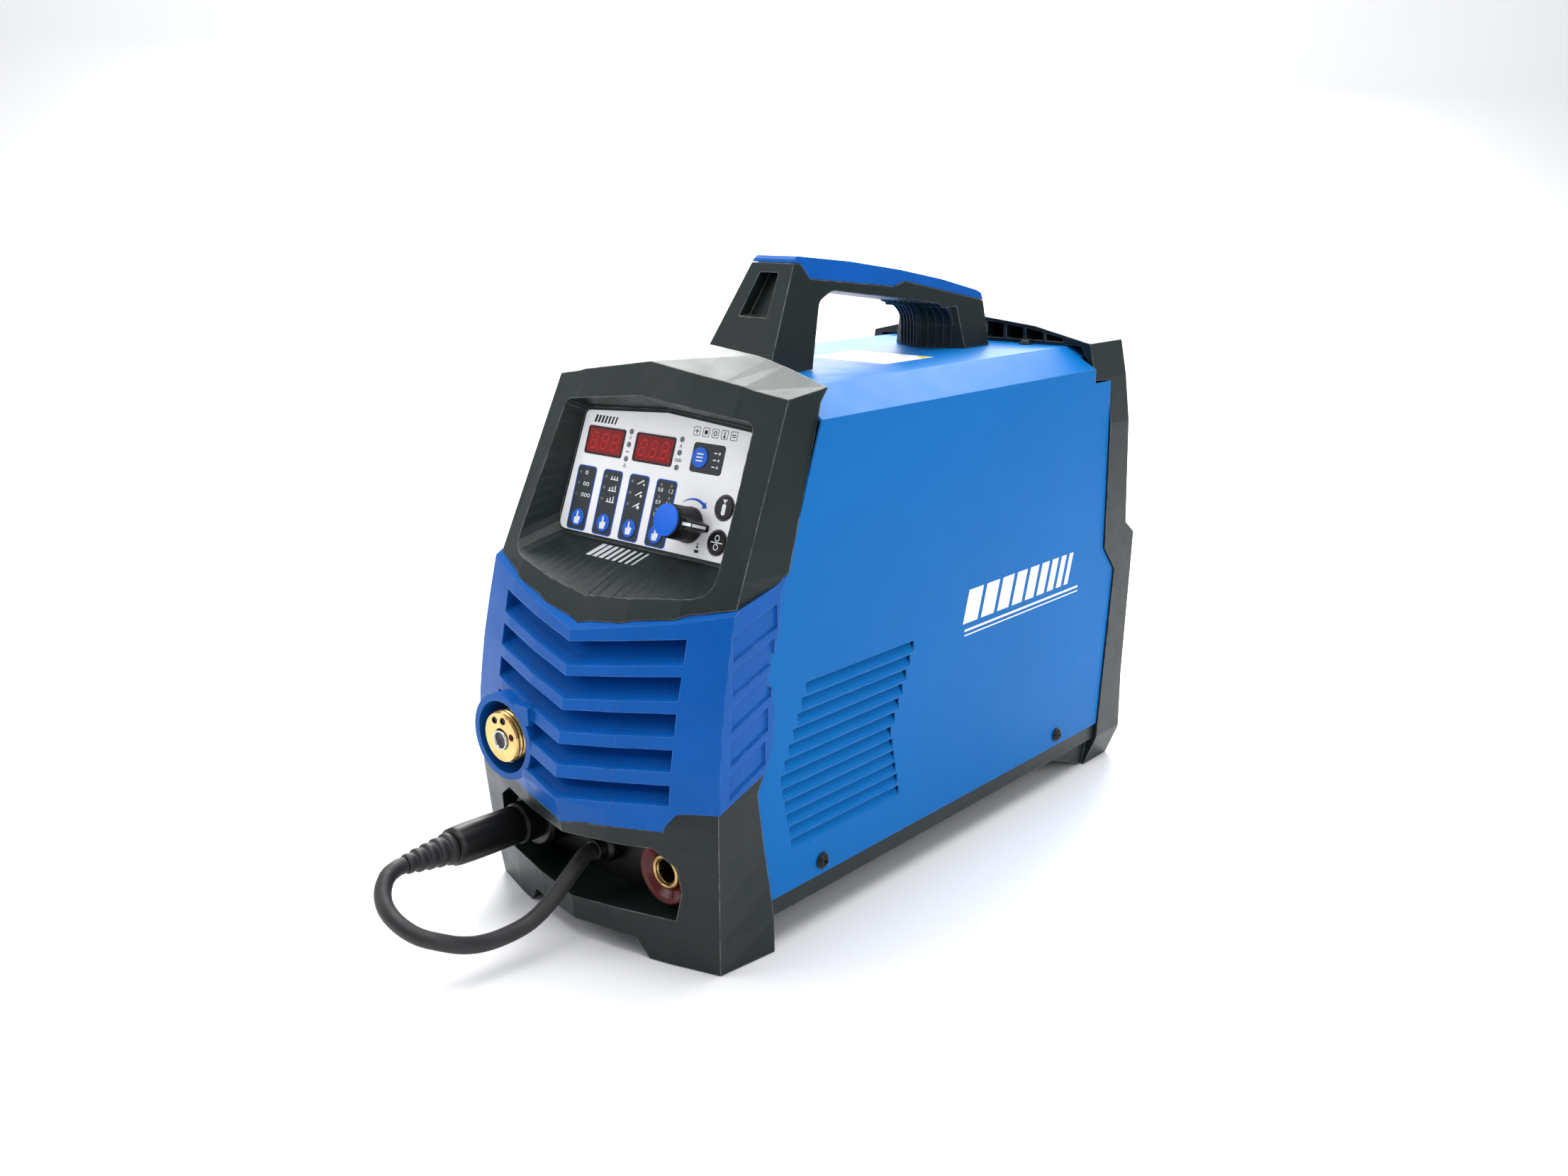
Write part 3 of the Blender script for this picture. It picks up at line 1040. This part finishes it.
def wire_feeder(alloy, steel, black, red):
    """Feeder plate with drive roll, pressure arm and roll, tension lever and motor."""
    plate = box("feeder_plate", (-0.0400, -0.1240, 0.0560), (-0.0320, -0.0360, 0.1300), alloy)
    join(plate, box("stand_off", (-0.0330, -0.1200, 0.0580), (DIVIDER_X - GAP, -0.1080, 0.1280)))
    join(plate, box("stand_off_rear", (-0.0330, -0.0520, 0.0580), (DIVIDER_X - GAP, -0.0400, 0.1280)))
    join(plate, box("outlet_guide", (-0.0580, -0.1240, 0.0760), (-0.0490, -0.0990, 0.1070)))
    join(plate, box("outlet_bracket", (-0.0560, -0.1240, 0.0760), (-0.0390, -0.1150, 0.0865)))
    join(plate, box("inlet_guide", (-0.0580, -0.0580, 0.0950), (-0.0390, -0.0360, 0.1070)))
    join(plate, rod("lever_pin", (-0.0440, LEVER_PIVOT.y, LEVER_PIVOT.z), 0.0018, 0.0120, "X", sides=12))
    join(plate, rod("arm_pin", (-0.0520, ARM_PIVOT.y, ARM_PIVOT.z), 0.0030, 0.0260, "X", sides=12))
    cut(plate, rod("wire_bore", (-SOCKET_X, -0.08, TORCH_Z), 0.0015, 0.12, sides=8))
    cut(plate, rod("drive_bore", (-0.0360, DRIVE_Y, DRIVE_AXIS.z), 0.0046, 0.02, "X", sides=20))
    groove = ROLL_GROOVE
    wheel = [(0.0, -0.0050), (ROLL_RADIUS, -0.0050), (ROLL_RADIUS, -0.0008), (ROLL_RADIUS - groove, 0.0),
             (ROLL_RADIUS, 0.0008), (ROLL_RADIUS, 0.0050), (0.0042, 0.0050), (0.0042, 0.0400), (0.0, 0.0400)]
    turned("drive_roll", wheel, DRIVE_AXIS, (1, 0, 0), steel, 28)
    idler = [(0.0033, -0.0048), (PRESSURE_RADIUS, -0.0048), (PRESSURE_RADIUS, 0.0048), (0.0033, 0.0048)]
    turned("pressure_roll", idler, PRESSURE_AXIS, (1, 0, 0), steel, 24)
    arm_outline = mm((-44, 113), (-60, 113), (-70, 106), (-90, 106), (-104, 118), (-118, 118), (-118, 125),
                     (-60, 127), (-44, 125))
    arm = side_prism("pressure_arm", arm_outline, -0.0635, -0.0580, black)
    join(arm, rod("roll_pin", (-0.0550, PRESSURE_AXIS.y, PRESSURE_AXIS.z), 0.0030, 0.0150, "X", sides=12))
    join(arm, box("arm_pad", (-0.0600, -0.1180, 0.1190), (-0.0410, -0.1040, 0.1250)))
    cut(arm, box("screw_slot", (-0.0482, -0.1300, 0.110), (-0.0418, -0.1088, 0.130)))
    cut(arm, rod("arm_bore", (-0.0600, ARM_PIVOT.y, ARM_PIVOT.z), 0.0033, 0.02, "X", sides=16))
    set_origin(arm, ARM_PIVOT)
    x, y = LEVER_PIVOT.x, LEVER_PIVOT.y
    lever = rod("tension_lever", (x, y, LEVER_PIVOT.z), 0.0040, 0.0060, "X", red, 16)
    join(lever, rod("tension_screw", (x, y, 0.1170), 0.0022, 0.0480, "Z", sides=12))
    join(lever, rod("tension_knob", (x, y, 0.1500), 0.0085, 0.0260, "Z", sides=16, end_radius=0.0075))
    cut(lever, rod("lever_bore", (x, y, LEVER_PIVOT.z), 0.0021, 0.0200, "X", sides=12))
    set_origin(lever, LEVER_PIVOT)
    motor = rod("feed_motor", (0.0180, DRIVE_Y, DRIVE_AXIS.z), 0.0170, 0.0580, "X", steel, 24)
    join(motor, box("gearbox", (-0.0143, -0.0990, DRIVE_AXIS.z - 0.0200), (0.0000, -0.0610, DRIVE_AXIS.z + 0.0200)))
    cut(motor, rod("motor_bore", (-0.0143, DRIVE_Y, DRIVE_AXIS.z), 0.0050, 0.0060, "X", sides=12))


def wire_store(black, copper, plastic):
    """Hub on the divider, and a full spool of wire that turns on it."""
    centre = SPOOL_CENTRE
    hub = rod("spool_hub", (-0.0500, centre.y, centre.z), 0.0240, 0.0640, "X", plastic, 28)
    join(hub, rod("hub_foot", (-0.0193, centre.y, centre.z), 0.0330, 0.0060, "X", sides=28))
    drum = [(0.0255, -0.0260), (SPOOL_RADIUS, -0.0260), (SPOOL_RADIUS, -0.0230), (0.0480, -0.0230),
            (0.0480, 0.0230), (SPOOL_RADIUS, 0.0230), (SPOOL_RADIUS, 0.0260), (0.0255, 0.0260)]
    turned("wire_spool", drum, centre, (1, 0, 0), black, 40)
    wound = [(0.0484, -0.0226), (0.0860, -0.0226), (0.0860, 0.0226), (0.0484, 0.0226)]
    turned("wire_coil", wound, centre, (1, 0, 0), copper, 40)


def build():
    clear_scene()
    blue_paint = material("blue_paint", (0.012, 0.165, 0.560), 0.42, 0.1)
    blue_plastic = material("blue_plastic", (0.010, 0.110, 0.460), 0.38)
    charcoal = material("charcoal_plastic", (0.028, 0.034, 0.034), 0.55)
    black = material("black_plastic", (0.010, 0.010, 0.011), 0.40)
    rubber = material("black_rubber", (0.012, 0.012, 0.013), 0.65)
    brass = material("brass", (0.800, 0.560, 0.220), 0.28, 1.0)
    steel = material("steel", (0.560, 0.560, 0.570), 0.32, 1.0)
    aluminium = material("aluminium", (0.700, 0.710, 0.720), 0.40, 1.0)
    maroon = material("maroon_plastic", (0.130, 0.010, 0.012), 0.25)
    overlay_white = material("overlay_white", (0.860, 0.870, 0.880), 0.35)
    display_red = material("display_red", (0.280, 0.004, 0.008), 0.20)
    key_blue = material("key_blue", (0.020, 0.200, 0.720), 0.35)
    board_green = material("board_green", (0.020, 0.130, 0.060), 0.50)
    copper = material("copper", (0.720, 0.320, 0.180), 0.35, 1.0)
    red = material("red_plastic", (0.450, 0.020, 0.016), 0.40)

    front_bezel(charcoal)
    front_grille(blue_plastic)
    front_base(charcoal)
    socket_plate(black)
    control_overlay(overlay_white)
    for name, centre in DISPLAY_CENTRES.items():
        display_block(name, centre, GAP, 0.0014, 0.0, display_red)
    control_board(board_green)
    panel_buttons(key_blue, black)
    encoder_and_knob(steel, black, blue_plastic)
    torch_connector(brass, black, steel)
    work_socket(maroon, brass, black)
    polarity_lead(black, rubber)
    body_cover(blue_paint)
    base_tray(charcoal)
    side_door(blue_paint)
    door_latches(black)
    cover_screws(black)
    handle_frame(charcoal)
    handle_cap(blue_plastic)
    rear_frame(charcoal)
    rear_panel(charcoal)
    fan(black)
    rear_fittings(black, red, brass)
    divider(aluminium)
    power_electronics(aluminium, board_green, copper)
    wire_feeder(aluminium, steel, black, red)
    wire_store(black, copper, charcoal)


build()
